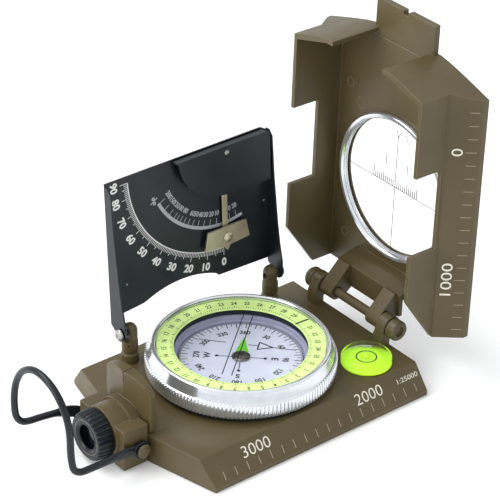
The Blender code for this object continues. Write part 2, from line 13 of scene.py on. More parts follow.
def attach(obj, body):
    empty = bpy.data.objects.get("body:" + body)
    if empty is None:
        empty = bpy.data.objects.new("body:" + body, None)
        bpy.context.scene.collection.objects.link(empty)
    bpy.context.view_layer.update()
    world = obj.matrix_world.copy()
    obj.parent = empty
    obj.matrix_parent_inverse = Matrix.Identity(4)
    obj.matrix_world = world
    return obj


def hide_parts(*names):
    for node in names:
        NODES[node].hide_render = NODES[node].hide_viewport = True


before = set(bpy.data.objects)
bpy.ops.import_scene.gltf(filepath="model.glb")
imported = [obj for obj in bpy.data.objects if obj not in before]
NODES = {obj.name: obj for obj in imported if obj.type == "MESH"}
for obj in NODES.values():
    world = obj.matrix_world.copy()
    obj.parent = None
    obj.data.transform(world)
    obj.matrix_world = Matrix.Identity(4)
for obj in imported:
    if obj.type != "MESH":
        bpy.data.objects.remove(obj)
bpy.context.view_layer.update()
MM = 0.001

# ---- places and sizes shared with the CAD, in millimetres
BASE_HALF, TOP_HALF, BASE_H, EDGE_H = 32.4, 26.9, 8.6, 1.7
HINGE_END, CORNER_Y, NOSE_Y, NOSE_HALF = 37.8, -37.6, -42.9, 10.3
DIAL_Y, WELL_R = -3.5, 22.7
HINGE_Y, HINGE_Z, CLOSED_H, LID_ANGLE = 38.1, 14.35, 28.4, 91.4
LID_DEPTH, LID_END, LID_CORNER, LID_NOSE = 18.9, 37.95, -36.3, -41.7
TAB_END, TAB_HALF, WALL_OUT, WALL_IN, PLATE_T = -50.2, 11.7, 26.3, 25.1, 1.8
WINDOW_Y, WINDOW_R = 4.3, 21.2
POST_X, POST_Y, FOLD_Z, LEAN = -22.5, 25.2, 18.0, 3.2
PLATE_HALF, PLATE_TOP, FACE_X, PEND_Y, PEND_H = 28.3, 45.3, -3.9, 11.6, 43.0
EYE_Z, BLOCK_HALF, LOOP_Y, LOOP_Z = 8.1, 10.1, -46.1, 6.1
VIAL = (18.9, 26.4)
HINGE_BORE, LOOP_BORE = 1.65, 1.35

HOME = Matrix.Identity(4)
DIAL = Matrix.Translation((0, DIAL_Y, 0))
EYE = Matrix.Translation((0, 0, EYE_Z))
LID = (Matrix.Translation((0, HINGE_Y, HINGE_Z)) @ Matrix.Rotation(-math.radians(LID_ANGLE), 4, 'X')
       @ Matrix.Translation((0, -HINGE_Y, -HINGE_Z)))
WINDOW = LID @ Matrix.Translation((0, WINDOW_Y, 0))
FOLD = Matrix.Translation((POST_X, 0, FOLD_Z)) @ Matrix.Rotation(-math.radians(LEAN), 4, 'Y')
SWING = FOLD @ Matrix.Translation((0, PEND_Y, PEND_H))
BUBBLE = Matrix.Translation((VIAL[0], VIAL[1], 0))


# =============================================================== materials
class Shader:
    """A small builder for one node material."""

    def __init__(self, name, colour, rough, metal=0.0):
        self.mat = bpy.data.materials.new(name)
        self.mat.use_nodes = True
        self.tree = self.mat.node_tree
        self.main = self.tree.nodes['Principled BSDF']
        self.colour = (*colour, 1)
        self.set('Base Color', self.colour)
        self.set('Roughness', rough)
        self.set('Metallic', metal)
        self.place = self.node('ShaderNodeTexCoord').outputs['Object']

    def node(self, kind, **options):
        n = self.tree.nodes.new(kind)
        for key, value in options.items():
            setattr(n, key, value)
        return n

    def link(self, out, to):
        self.tree.links.new(out, to)

    def set(self, socket, value):
        self.main.inputs[socket].default_value = value

    def noise(self, scale, detail=3.0, stretch=None):
        n = self.node('ShaderNodeTexNoise')
        n.inputs['Scale'].default_value = scale
        n.inputs['Detail'].default_value = detail
        where = self.place
        if stretch:
            m = self.node('ShaderNodeMapping')
            m.inputs['Scale'].default_value = stretch
            self.link(where, m.inputs['Vector'])
            where = m.outputs['Vector']
        self.link(where, n.inputs['Vector'])
        return n.outputs['Fac']

    def ranged(self, value, low, high, to_low, to_high):
        n = self.node('ShaderNodeMapRange')
        for key, number in zip(('From Min', 'From Max', 'To Min', 'To Max'),
                               (low, high, to_low, to_high)):
            n.inputs[key].default_value = number
        self.link(value, n.inputs['Value'])
        return n.outputs['Result']

    def mixed(self, fac, a, b):
        n = self.node('ShaderNodeMix', data_type='RGBA')
        self.link(fac, n.inputs['Factor'])
        for socket, value in ((n.inputs[6], a), (n.inputs[7], b)):
            if isinstance(value, bpy.types.NodeSocket):
                self.link(value, socket)
            else:
                socket.default_value = (*value[:3], 1)
        return n.outputs[2]

    def mottled(self, scale, amount):
        """The colour varies softly by this share."""
        dark = tuple(c * (1 - amount) for c in self.colour[:3])
        light = tuple(min(1, c * (1 + amount)) for c in self.colour[:3])
        fac = self.ranged(self.noise(scale), 0.35, 0.65, 0, 1)
        out = self.mixed(fac, dark, light)
        self.link(out, self.main.inputs['Base Color'])
        return out

    def rough_by(self, scale, low, high, stretch=None):
        fac = self.ranged(self.noise(scale, stretch=stretch), 0.3, 0.7, low, high)
        self.link(fac, self.main.inputs['Roughness'])

    def bumped(self, scale, height_mm, edge_mm=0.0, stretch=None, detail=3.0):
        """Fine relief in the surface, and softly rounded edges."""
        b = self.node('ShaderNodeBump')
        b.inputs['Strength'].default_value = 1.0
        b.inputs['Distance'].default_value = height_mm * MM
        self.link(self.noise(scale, detail, stretch), b.inputs['Height'])
        if edge_mm:
            e = self.node('ShaderNodeBevel', samples=4)
            e.inputs['Radius'].default_value = edge_mm * MM
            self.link(e.outputs['Normal'], b.inputs['Normal'])
        self.link(b.outputs['Normal'], self.main.inputs['Normal'])

    def worn(self, under, colour, radius_mm, share):
        """Edges and inner corners show a lighter colour: a painted highlight along the edges, together
        with paint worn thin there.
        """
        e = self.node('ShaderNodeBevel', samples=6)
        e.inputs['Radius'].default_value = radius_mm * MM
        g = self.node('ShaderNodeNewGeometry')
        d = self.node('ShaderNodeVectorMath', operation='DOT_PRODUCT')
        self.link(e.outputs['Normal'], d.inputs[0])
        self.link(g.outputs['Normal'], d.inputs[1])
        fac = self.ranged(d.outputs['Value'], 0.995, 0.9, 0.0, share)
        out = self.mixed(fac, under, colour)
        self.link(out, self.main.inputs['Base Color'])

    def seen_through(self, tint=(1, 1, 1)):
        """Clear material: light and shadow rays pass straight through."""
        self.set('Transmission Weight', 1.0)
        path = self.node('ShaderNodeLightPath')
        either = self.node('ShaderNodeMath', operation='MAXIMUM')
        self.link(path.outputs['Is Shadow Ray'], either.inputs[0])
        self.link(path.outputs['Is Diffuse Ray'], either.inputs[1])
        clear = self.node('ShaderNodeBsdfTransparent')
        clear.inputs['Color'].default_value = (*tint, 1)
        mix = self.node('ShaderNodeMixShader')
        self.link(either.outputs[0], mix.inputs[0])
        self.link(self.main.outputs[0], mix.inputs[1])
        self.link(clear.outputs[0], mix.inputs[2])
        self.link(mix.outputs[0], self.tree.nodes['Material Output'].inputs['Surface'])


def olive():
    s = Shader('olive enamel', (0.09, 0.068, 0.027), 0.4)
    under = s.mottled(70, 0.08)
    # painted edge highlight mixed with worn paint: every edge, inner corners too, gets the lighter colour
    s.worn(under, (0.33, 0.27, 0.18), 0.22, 0.6)
    s.rough_by(160, 0.34, 0.46)
    s.bumped(1500, 0.01, 0.2)
    s.set('Specular IOR Level', 0.4)
    return s.mat


def black_sheet():
    s = Shader('black satin', (0.008, 0.012, 0.017), 0.34)
    s.mottled(90, 0.12)
    s.rough_by(220, 0.3, 0.4)
    s.bumped(1800, 0.003)
    s.set('Specular IOR Level', 0.4)
    return s.mat


def black_gloss(name, rough):
    s = Shader(name, (0.006, 0.009, 0.014), rough)
    s.mottled(200, 0.1)
    s.rough_by(300, rough - 0.05, rough + 0.06)
    s.bumped(900, 0.008)
    s.set('Specular IOR Level', 0.35)
    return s.mat


def bright(name, rough):
    """Turned and polished metal."""
    s = Shader(name, (0.8, 0.83, 0.87), rough, 0.82)
    s.mottled(300, 0.03)
    s.rough_by(60, rough, rough + 0.07, stretch=(1, 1, 24))
    s.bumped(120, 0.004, stretch=(1, 1, 20))
    return s.mat


def metal(name, colour, rough, edge=0.0):
    s = Shader(name, colour, rough, 1.0)
    s.mottled(250, 0.07)
    s.rough_by(400, rough - 0.05, rough + 0.08, stretch=(1, 1, 6))
    s.bumped(1200, 0.003, edge)
    return s.mat


def fluorescent(name, colour, glow):
    s = Shader(name, colour, 0.42)
    s.mottled(150, 0.04)
    s.bumped(1100, 0.006)
    s.set('Emission Color', (*colour, 1))
    s.set('Emission Strength', glow)
    return s.mat


def plain(name, colour, rough, scale=300, amount=0.05):
    s = Shader(name, colour, rough)
    s.mottled(scale, amount)
    s.bumped(1400, 0.004)
    return s.mat


def clear(name, colour, ior, tint=(1, 1, 1), rough=0.01):
    s = Shader(name, colour, rough)
    s.set('IOR', ior)
    s.seen_through(tint)
    return s.mat


OLIVE = olive()
BLACK = black_sheet()
RUBBER = black_gloss('black moulding', 0.32)
WIRE = black_gloss('black coated wire', 0.26)
CHROME = bright('turned bright metal', 0.13)
STEEL = metal('steel', (0.42, 0.41, 0.39), 0.32)
BRASS = metal('brass', (0.66, 0.5, 0.24), 0.28)
NICKEL = metal('satin nickel', (0.62, 0.56, 0.42), 0.34)
DARK_METAL = metal('dark nickel', (0.2, 0.19, 0.18), 0.25)
LIME = fluorescent('fluorescent dial', (0.72, 0.96, 0.33), 0.1)
NEON = fluorescent('fluorescent cup', (0.6, 1.0, 0.02), 0.16)
ARROW = fluorescent('green arrow', (0.16, 0.62, 0.03), 0.05)
CARD = plain('card', (0.72, 0.76, 0.92), 0.45, 200, 0.03)
WALL = plain('capsule wall', (0.36, 0.37, 0.5), 0.35)
# dark navy is painted shade: it stands for the dark gap under the dial ring
GAP_SHADE_NAVY = plain('capsule edge painted shade', (0.02, 0.025, 0.07), 0.3)
INK = plain('black ink', (0.012, 0.013, 0.016), 0.5)
WHITE_INK = plain('white ink', (0.82, 0.82, 0.8), 0.5)
CREAM_INK = plain('cream ink', (0.75, 0.71, 0.62), 0.5)
DULL_INK = plain('worn ink', (0.36, 0.31, 0.23), 0.5)
SILVER_INK = plain('silver ink', (0.4, 0.42, 0.44), 0.4)
GLASS = clear('glass', (1, 1, 1), 1.08)
ACRYLIC = clear('clear acrylic', (0.93, 1, 0.96), 1.12, (0.93, 1, 0.96), 0.2)
# the dark blue tint is painted shade: it stands for the dark bore of the eyepiece seen through the glass
SHADE_TINTED_LENS = clear('lens tinted as painted shade', (0.12, 0.15, 0.25), 1.5, (0.12, 0.15, 0.25))


# =============================================================== geometry
def loft(sections, caps=True):
    """A closed body through sections that have the same number of points."""
    bm = bmesh.new()
    loops = [[bm.verts.new(p) for p in s] for s in sections]
    for a, b in zip(loops, loops[1:]):
        for i in range(len(a)):
            j = (i + 1) % len(a)
            bm.faces.new((a[i], a[j], b[j], b[i]))
    if caps:
        bm.faces.new(list(reversed(loops[0])))
        bm.faces.new(loops[-1])
    return bm


def prism(outline, axis, low, high):
    """An outline drawn in the plane across `axis` and extruded from low to high."""
    def put(p, t):
        return {'X': (t, p[0], p[1]), 'Y': (p[0], t, p[1]), 'Z': (p[0], p[1], t)}[axis]
    return loft([[put(p, low) for p in outline], [put(p, high) for p in outline]])


def box(x, y, z):
    return prism([(x[0], y[0]), (x[1], y[0]), (x[1], y[1]), (x[0], y[1])], 'Z', z[0], z[1])


def arc(centre, radius, first, last, n):
    out = []
    for i in range(n + 1):
        a = math.radians(first + (last - first) * i / n)
        out.append((centre[0] + radius * math.cos(a), centre[1] + radius * math.sin(a)))
    return out


def turned(profile, n=96, axis='Z', ridges=0, depth=0.0):
    """A body of revolution from a loop of (radius, along), or from axis to axis.  With ridges,
    rows marked (radius, along, 1) are knurled to that depth."""
    marks = [2 * math.pi * i / n for i in range(n)]
    sunk = [0.0] * n
    if ridges:
        pitch = 2 * math.pi / ridges
        steps = ((0.0, 0.0), (0.3, 0.15), (0.55, 1.0), (0.75, 1.0))
        marks = [(k + s) * pitch for k in range(ridges) for s, _ in steps]
        sunk = [depth * d for k in range(ridges) for _, d in steps]
        n = len(marks)
    bm = bmesh.new()
    solid = profile[0][0] == 0.0 and profile[-1][0] == 0.0
    rows = []
    for radius, along, *knurl in profile:
        row = []
        for a, d in list(zip(marks, sunk))[:1 if radius == 0.0 else n]:
            r = radius - (d if knurl else 0.0)
            p = (r * math.cos(a), r * math.sin(a), along)
            p = {'X': (p[2], p[0], p[1]), 'Y': (p[1], p[2], p[0]), 'Z': p}[axis]
            row.append(bm.verts.new(p))
        rows.append(row)
    pairs = list(zip(rows, rows[1:]))
    if not solid:
        pairs.append((rows[-1], rows[0]))
    for a, b in pairs:
        for i in range(n):
            j = (i + 1) % n
            face = []
            for v in (a[i % len(a)], a[j % len(a)], b[j % len(b)], b[i % len(b)]):
                if v not in face:
                    face.append(v)
            if len(face) > 2:
                bm.faces.new(face)
    return bm


def rod(radius, low, high, axis='Z', n=40):
    return turned([(0.0, low), (radius, low), (radius, high), (0.0, high)], n, axis)


def rounded(bm, width, segments=3, angle=30):
    """Rounds the edges that are sharper than the angle."""
    bmesh.ops.recalc_face_normals(bm, faces=bm.faces)
    bmesh.ops.dissolve_limit(bm, angle_limit=math.radians(1), verts=bm.verts, edges=bm.edges)
    sharp = [e for e in bm.edges if e.is_manifold and e.calc_face_angle() > math.radians(angle)]
    bmesh.ops.bevel(bm, geom=sharp, offset=width, segments=segments, profile=0.5,
                    affect='EDGES', clamp_overlap=True)
    return bm


def shifted(bm, *offset):
    bmesh.ops.translate(bm, vec=offset, verts=bm.verts)
    return bm


def scratch(bm):
    bmesh.ops.recalc_face_normals(bm, faces=bm.faces)
    mesh = bpy.data.meshes.new('scratch')
    bm.to_mesh(mesh)
    bm.free()
    ob = bpy.data.objects.new('scratch', mesh)
    bpy.context.collection.objects.link(ob)
    return ob


def carve(bm, *steps):
    """A new bmesh after Boolean steps, each ('cut', bmesh) or ('join', bmesh)."""
    ob = scratch(bm)
    tools = []
    for how, other in steps:
        t = scratch(other)
        tools.append(t)
        mod = ob.modifiers.new(how, 'BOOLEAN')
        mod.operation = {'cut': 'DIFFERENCE', 'join': 'UNION', 'keep': 'INTERSECT'}[how]
        mod.solver = 'EXACT'
        mod.object = t
    graph = bpy.context.evaluated_depsgraph_get()
    mesh = bpy.data.meshes.new_from_object(ob.evaluated_get(graph))
    out = bmesh.new()
    out.from_mesh(mesh)
    bpy.data.meshes.remove(mesh)
    for t in [ob] + tools:
        old = t.data
        bpy.data.objects.remove(t)
        bpy.data.meshes.remove(old)
    bmesh.ops.remove_doubles(out, verts=out.verts, dist=1e-4)
    return out


def piece(name, bm, mat, body, place=HOME, stands_for=(), smooth=35, flat=True):
    """A finished piece from a bmesh in millimetres."""
    bmesh.ops.recalc_face_normals(bm, faces=bm.faces)
    mesh = bpy.data.meshes.new(name)
    bm.to_mesh(mesh)
    bm.free()
    mesh.transform(Matrix.Scale(MM, 4) @ place)
    mesh.materials.append(mat)
    mesh.shade_smooth()
    mesh.set_sharp_from_angle(angle=math.radians(smooth))
    ob = bpy.data.objects.new(name, mesh)
    bpy.context.collection.objects.link(ob)
    if flat:
        mod = ob.modifiers.new('normals', 'WEIGHTED_NORMAL')
        mod.keep_sharp = True
        mod.weight = 90
    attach(ob, body)
    if stands_for:
        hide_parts(*stands_for)
    return ob


# =============================================================== printing
INK_T = 0.03            # half the thickness of a printed mark


def sheet_plane(origin, across, upward):
    """The matrix of a plane: marks are drawn across and upward on it, and seen from its front."""
    u, v = Vector(across).normalized(), Vector(upward).normalized()
    n = u.cross(v)
    m = Matrix((u, v, n)).transposed().to_4x4()
    return Matrix.Translation(origin) @ m


def patch(bm, outline):
    """A printed shape."""
    low = [bm.verts.new((x, y, -INK_T)) for x, y in outline]
    high = [bm.verts.new((x, y, INK_T)) for x, y in outline]
    bm.faces.new(list(reversed(low)))
    bm.faces.new(high)
    for i in range(len(low)):
        j = (i + 1) % len(low)
        bm.faces.new((low[i], low[j], high[j], high[i]))


def line(bm, a, b, width):
    a, b = Vector(a), Vector(b)
    d = (b - a).normalized()
    s = Vector((-d.y, d.x)) * width / 2
    patch(bm, [a - s, b - s, b + s, a + s])


def band(bm, r_in, r_out, first=0.0, last=360.0, n=96, centre=(0.0, 0.0)):
    """A printed ring or part of one."""
    count = n if last - first < 360 else n - 1
    step = (last - first) / n
    ring = []
    for i in range(count + 1):
        a = math.radians(first + step * i)
        c, s = math.cos(a), math.sin(a)
        ring.append([bm.verts.new((centre[0] + r * c, centre[1] + r * s, z))
                     for r, z in ((r_in, -INK_T), (r_out, -INK_T), (r_out, INK_T), (r_in, INK_T))])
    whole = last - first >= 360
    for a, b in zip(ring, ring[1:] + (ring[:1] if whole else [])):
        for i in range(4):
            j = (i + 1) % 4
            bm.faces.new((a[i], a[j], b[j], b[i]))
    if not whole:
        bm.faces.new(list(reversed(ring[0])))
        bm.faces.new(ring[-1])


GLYPHS = {}


def lettering(text, weight):
    """The points and faces of a word, one unit high and centred."""
    if (text, weight) in GLYPHS:
        return GLYPHS[text, weight]
    curve = bpy.data.curves.new('text', 'FONT')
    curve.body = text
    curve.offset = weight
    curve.resolution_u = 3
    curve.extrude = 0.5
    ob = bpy.data.objects.new('text', curve)
    bpy.context.collection.objects.link(ob)
    graph = bpy.context.evaluated_depsgraph_get()
    mesh = bpy.data.meshes.new_from_object(ob.evaluated_get(graph))
    points = [v.co.copy() for v in mesh.vertices]
    faces = [tuple(f.vertices) for f in mesh.polygons]
    bpy.data.meshes.remove(mesh)
    bpy.data.objects.remove(ob)
    bpy.data.curves.remove(curve)
    xs, ys = [p.x for p in points], [p.y for p in points]
    mid = Vector(((min(xs) + max(xs)) / 2, (min(ys) + max(ys)) / 2, 0))
    tall = max(ys) - min(ys)
    points = [Vector(((p.x - mid.x) / tall, (p.y - mid.y) / tall, p.z * 2)) for p in points]
    GLYPHS[text, weight] = points, faces
    return points, faces


def write(bm, text, centre, height, angle=0.0, weight=0.0, wide=1.0):
    """Printed figures, turned by an angle in degrees."""
    points, faces = lettering(text, weight)
    c, s = math.cos(math.radians(angle)), math.sin(math.radians(angle))
    verts = []
    for p in points:
        x, y = p.x * height * wide, p.y * height
        verts.append(bm.verts.new((centre[0] + x * c - y * s, centre[1] + x * s + y * c,
                                   p.z * INK_T)))
    for f in faces:
        corners = [verts[i] for i in f]
        if len(set(corners)) > 2:
            try:
                bm.faces.new(corners)
            except ValueError:
                pass


def polar(radius, angle):
    a = math.radians(angle)
    return Vector((radius * math.cos(a), radius * math.sin(a)))


def print_on(name, bm, mat, body, plane):
    bmesh.ops.remove_doubles(bm, verts=bm.verts, dist=1e-5)
    return piece(name, bm, mat, body, plane, flat=False)


# =============================================================== base
def drill(radius, low, high, x=0.0, y=0.0, n=40):
    return shifted(rod(radius, low, high, 'Z', n), x, y, 0)


SLANT = (CORNER_Y - NOSE_Y) / (BASE_HALF - NOSE_HALF)
shoulder = NOSE_Y + SLANT * (TOP_HALF - NOSE_HALF)
rows = []
UNDERCUT = 0.3
for half, y, z in ((BASE_HALF - UNDERCUT, CORNER_Y + UNDERCUT, 0.0), (BASE_HALF, CORNER_Y, UNDERCUT),
                   (BASE_HALF, CORNER_Y, EDGE_H), (TOP_HALF, shoulder, BASE_H)):
    rows.append([(-half, HINGE_END, z), (-half, y, z), (-NOSE_HALF, NOSE_Y, z),
                 (NOSE_HALF, NOSE_Y, z), (half, y, z), (half, HINGE_END, z)])
steps = [('cut', drill(WELL_R, 2.6, 12.0, 0, DIAL_Y, 128)),
         ('cut', box((-28.0, 28.0), (-26.5, 34.5), (-1.0, 1.3))),
         ('cut', drill(4.9, -1.0, 7.3, 0, -32.5))]
for s in (-1, 1):
    lug = [(34.0, BASE_H - 1.0), (37.6, BASE_H - 1.0), (37.6, 10.6)]
    lug += arc((HINGE_Y, HINGE_Z), 3.2, -62, 180, 28) + [(34.0, 12.2)]
    low, high = sorted((s * 12.7, s * 16.2))
    steps.append(('join', rounded(prism(lug, 'X', low, high), 0.3)))
    steps.append(('cut', drill(1.6, 3.6, 9.5, POST_X, s * POST_Y)))
steps.append(('cut', shifted(rod(HINGE_BORE, -20.0, 20.0, 'X', 32), 0, HINGE_Y, HINGE_Z)))
steps.append(('cut', drill(6.8, 5.4, 9.5, *VIAL, 64)))
for x, y in ((-25.0, -23.5), (25.0, -23.5), (-25.0, 31.5), (25.0, 31.5)):
    steps.append(('cut', drill(1.2, 0.5, 5.2, x, y, 20)))
for x in (-6.3, 6.3):
    steps.append(('cut', drill(1.35, -1.0, 1.9, x, -41.3, 20)))
# the scribed edge of the eyepiece casting's seat
steps.append(('cut', box((8.9, 9.1), (-40.4, -33.0), (BASE_H - 0.12, BASE_H + 1.0))))
base = carve(rounded(loft(rows), 0.4), *steps)
piece('base_casting', base, OLIVE, 'base', stands_for=['base_body'])

# =============================================================== capsule and card
cup = [(0.0, 2.9), (21.6, 2.9), (22.2, 3.5), (22.2, 14.1), (19.0, 14.1), (18.9, 13.7),
       (18.55, 13.55), (18.5, 12.6), (17.9, 12.4), (17.85, 11.6), (17.55, 11.4), (17.55, 5.6),
       (1.3, 5.6), (1.3, 4.2), (0.0, 4.2)]
piece('capsule_body', turned(cup, 144), WALL, 'base', DIAL,
      stands_for=['capsule_cup'])
# the lip's dark navy colour is painted shade of the gap beneath the dial ring
piece('capsule_lip', turned([(18.75, 14.12), (22.2, 14.12), (22.2, 14.36), (18.75, 14.36)], 144), GAP_SHADE_NAVY,
      'base', DIAL)
piece('capsule_window', rod(22.2, 14.4, 15.3, 'Z', 144), GLASS, 'base', DIAL,
      stands_for=['capsule_cover'])
CARD_Z, CARD_R = 12.2, 17.2
rim = [(1.2, CARD_Z - 0.6), (16.4, CARD_Z - 0.6), (16.6, CARD_Z - 3.0), (17.2, CARD_Z - 3.0),
       (CARD_R, CARD_Z - 0.1), (CARD_R - 0.1, CARD_Z), (1.2, CARD_Z)]
piece('card_disc', turned(rim, 144), CARD, 'card', DIAL, stands_for=['compass_card'])
magnet = rounded(box((-2.2, 2.2), (-11.0, 11.0), (CARD_Z - 3.4, CARD_Z - 0.9)), 0.3)
piece('magnet_bar', magnet, STEEL, 'card', DIAL, stands_for=['card_magnet'])
NORTH = 136.0           # the way the card points at rest, counter-clockwise from +X
CARD_FACE = (DIAL @ Matrix.Translation((0, 0, CARD_Z))
             @ Matrix.Rotation(math.radians(NORTH - 90), 4, 'Z'))
marks = bmesh.new()
for k in range(0, 360, 5):
    long = k % 10 == 0
    line(marks, polar(14.9 if long else 15.6, k), polar(16.9, k), 0.26 if long else 0.18)
band(marks, 16.86, 16.98, n=144)
for k in range(0, 360, 30):
    write(marks, str(360 if k == 0 else k), polar(12.5, 90 - k), 1.85, -k, 0.025, 0.86)
for word, k in (('W', 270), ('E', 90), ('S', 180)):
    write(marks, word, polar(9.5, 90 - k), 2.0, -k, 0.03)
    line(marks, polar(2.6, 90 - k), polar(7.0, 90 - k), 0.24)
    band(marks, 0.0001, 0.5, n=20, centre=polar(6.8, 90 - k))
print_on('card_marks', marks, INK, 'card', CARD_FACE)
arrow = bmesh.new()
patch(arrow, [(-1.9, 2.7), (1.9, 2.7), (0.0, 10.3)])
print_on('north_arrow', arrow, ARROW, 'card', CARD_FACE)
cap = [(0.0, 12.3), (0.45, 11.9), (0.45, 10.9), (0.9, 10.9), (0.9, CARD_Z + 0.2), (2.6, CARD_Z + 0.2),
       (2.62, CARD_Z + 0.4), (2.2, CARD_Z + 0.62), (1.3, CARD_Z + 0.75), (1.2, CARD_Z + 0.95),
       (0.5, CARD_Z + 1.05), (0.0, CARD_Z + 1.08)]
piece('card_pivot', turned(cap, 48), DARK_METAL, 'card', DIAL,
      stands_for=['pivot_cap'])

# =============================================================== bezel and dial ring
RIDGES = 148
bezel = [(22.75, 9.9), (26.2, 9.9), (26.75, 10.15, 1), (26.9, 10.45, 1), (26.9, 13.75, 1),
         (26.75, 14.1, 1), (26.35, 14.3), (26.05, 14.42), (25.95, 14.6), (25.25, 17.1), (25.1, 17.5),
         (24.85, 17.78), (24.55, 17.88), (24.2, 17.86), (23.95, 17.7), (23.85, 17.4), (23.78, 15.75),
         (22.75, 15.75)]
piece('knurled_bezel', turned(bezel, ridges=RIDGES, depth=0.36), CHROME, 'bezel', DIAL,
      stands_for=['bezel_ring'], smooth=42, flat=False)
ring = [(18.7, 15.95), (23.5, 15.95), (23.5, 16.42), (18.8, 16.42), (18.7, 16.34)]
piece('dial_band', turned(ring, 180), LIME, 'bezel', DIAL,
      stands_for=['dial_ring'])
piece('dial_glass', rod(23.5, 16.6, 17.3, 'Z', 144), GLASS, 'bezel', DIAL,
      stands_for=['bezel_glass'])
DIAL_FACE = DIAL @ Matrix.Translation((0, 0, 16.42))
figures = bmesh.new()
INDEX = 87.0            # the index mark, counter-clockwise from +X
for k in range(180):
    a = INDEX + 2 * k
    long = k % 5 == 0
    line(figures, polar(18.95, a), polar(20.0 if long else 19.55, a), 0.17 if long else 0.12)
    if k % 5 == 0:
        line(figures, polar(22.7, a), polar(23.2, a), 0.14)
for k in range(36):
    a = INDEX - 10 * k
    if k:
        write(figures, str((30 + k) % 36), polar(21.45, a), 1.55, a - 90, 0.012, 0.8)
line(figures, polar(18.75, INDEX), polar(23.3, INDEX), 0.6)
print_on('dial_figures', figures, INK, 'bezel', DIAL_FACE)
HAIR_TURN = -49.7       # the way the two lines run, from +X
hair = bmesh.new()
for off in (-2.25, 0.42):
    line(hair, (-16.2, off), (15.5, off), 0.3)
# the mark that crosses the dial behind them, drawn in the same turned frame
CROSS = Matrix.Rotation(math.radians(90.4), 2)
MIDDLE, FOOT, TIP = 0.3, 4.85, 8.9
for a, b in ((-12.1, -4.3), (2.0, FOOT), (TIP, 15.4)):
    line(hair, CROSS @ Vector((a, MIDDLE)), CROSS @ Vector((b, MIDDLE)), 0.24)
for a, b in (((FOOT, -1.55), (FOOT, 2.15)), ((FOOT, -1.5), (TIP, MIDDLE)),
             ((FOOT, 2.1), (TIP, MIDDLE))):
    line(hair, CROSS @ Vector(a), CROSS @ Vector(b), 0.4)
print_on('dial_hairlines', hair, INK, 'bezel',
         DIAL @ Matrix.Translation((0, 0, 16.55)) @ Matrix.Rotation(math.radians(HAIR_TURN), 4, 'Z'))

# =============================================================== bubble level
well = [(0.0, 5.7), (6.5, 5.7), (6.5, 8.85), (7.2, 8.85), (7.25, 9.0), (7.2, 9.25), (6.7, 9.35),
        (4.55, 10.25), (4.3, 10.3), (0.0, 10.3)]
piece('level_cup', turned(well, 96), NEON, 'base', BUBBLE,
      stands_for=['vial_base'])
dome = [(0.0, 10.36), (4.4, 10.36), (6.75, 9.42), (7.15, 9.42), (7.2, 9.6), (7.2, 10.85), (7.0, 11.15),
        (6.6, 11.25), (0.0, 11.3)]
piece('level_cover', turned(dome, 96), ACRYLIC, 'base', BUBBLE,
      stands_for=['vial_dome'])
mark = bmesh.new()
band(mark, 2.65, 3.05, n=64)
# the small ring round the bubble is painted shade: the dark rim a bubble shows where light bends at its
# edge
band(mark, 1.2, 1.32, n=40, centre=(-0.35, 0.15))
print_on('level_ring_and_bubble_rim_shade', mark, INK, 'base',
         BUBBLE @ Matrix.Translation((0, 0, 10.3)))
drop = turned([(0.0, -0.16)] + [(1.25 * math.cos(math.radians(a)), 0.16 * math.sin(math.radians(a)))
                                for a in range(-75, 90, 15)] + [(0.0, 0.16)], 40)
piece('level_bubble', drop, NEON, 'base',
      BUBBLE @ Matrix.Translation((-0.35, 0.15, 10.45)))

# =============================================================== scales on the base
BEVEL = sheet_plane((BASE_HALF, 0, EDGE_H), (0, 1, 0), (TOP_HALF - BASE_HALF, 0, BASE_H - EDGE_H))
scale = bmesh.new()
for k in range(18):
    y = 34.4 - 4 * k
    line(scale, (y, 0.95), (y, 3.35), 0.2)
print_on('base_scale', scale, DULL_INK, 'base', BEVEL)
scale = bmesh.new()
write(scale, '2000', (18.8, 5.75), 3.2, 0, -0.006, 1.07)
write(scale, '3000', (-21.2, 5.75), 3.2, 0, -0.006, 1.07)
write(scale, '1:25000', (33.0, 5.6), 1.4, 0, 0.0, 1.25)
print_on('base_numbers', scale, CREAM_INK, 'base', BEVEL)

# =============================================================== lid
low_z, in_z = CLOSED_H - LID_DEPTH, CLOSED_H - PLATE_T
bevel_z = CLOSED_H - BASE_H
section = [(-BASE_HALF, CLOSED_H), (-BASE_HALF, CLOSED_H - EDGE_H), (-TOP_HALF, bevel_z + 0.1),
           (-WALL_OUT, bevel_z - 0.2), (-WALL_OUT, low_z), (WALL_OUT, low_z),
           (WALL_OUT, bevel_z - 0.2), (TOP_HALF, bevel_z + 0.1), (BASE_HALF, CLOSED_H - EDGE_H),
           (BASE_HALF, CLOSED_H)]
LSLANT = (LID_CORNER - LID_NOSE) / (BASE_HALF - 12.8)
corner = LID_CORNER + LSLANT * -6.6 + 1.3
inner = [(-12.8, LID_NOSE + 1.3), (-WALL_IN, corner), (-WALL_IN, LID_END + 2.0),
         (WALL_IN, LID_END + 2.0), (WALL_IN, corner), (12.8, LID_NOSE + 1.3)]
steps = []
for s in (-1, 1):
    wedge = [(s * 12.8, LID_NOSE), (s * 17.5, -40.75), (s * 22.5, -39.35), (s * BASE_HALF, LID_CORNER),
             (s * (BASE_HALF + 3.0), LID_CORNER + LSLANT * 3.0),
             (s * (BASE_HALF + 3.0), LID_NOSE - 3.0), (s * 12.8, LID_NOSE - 3.0)]
    steps.append(('cut', prism(wedge, 'Z', low_z - 1.0, CLOSED_H + 1.0)))
steps.append(('cut', prism(inner, 'Z', low_z - 1.0, in_z)))
steps.append(('cut', box((-10.3, 10.3), (LID_NOSE - 2.0, LID_NOSE + 3.0), (low_z - 1.0, in_z))))
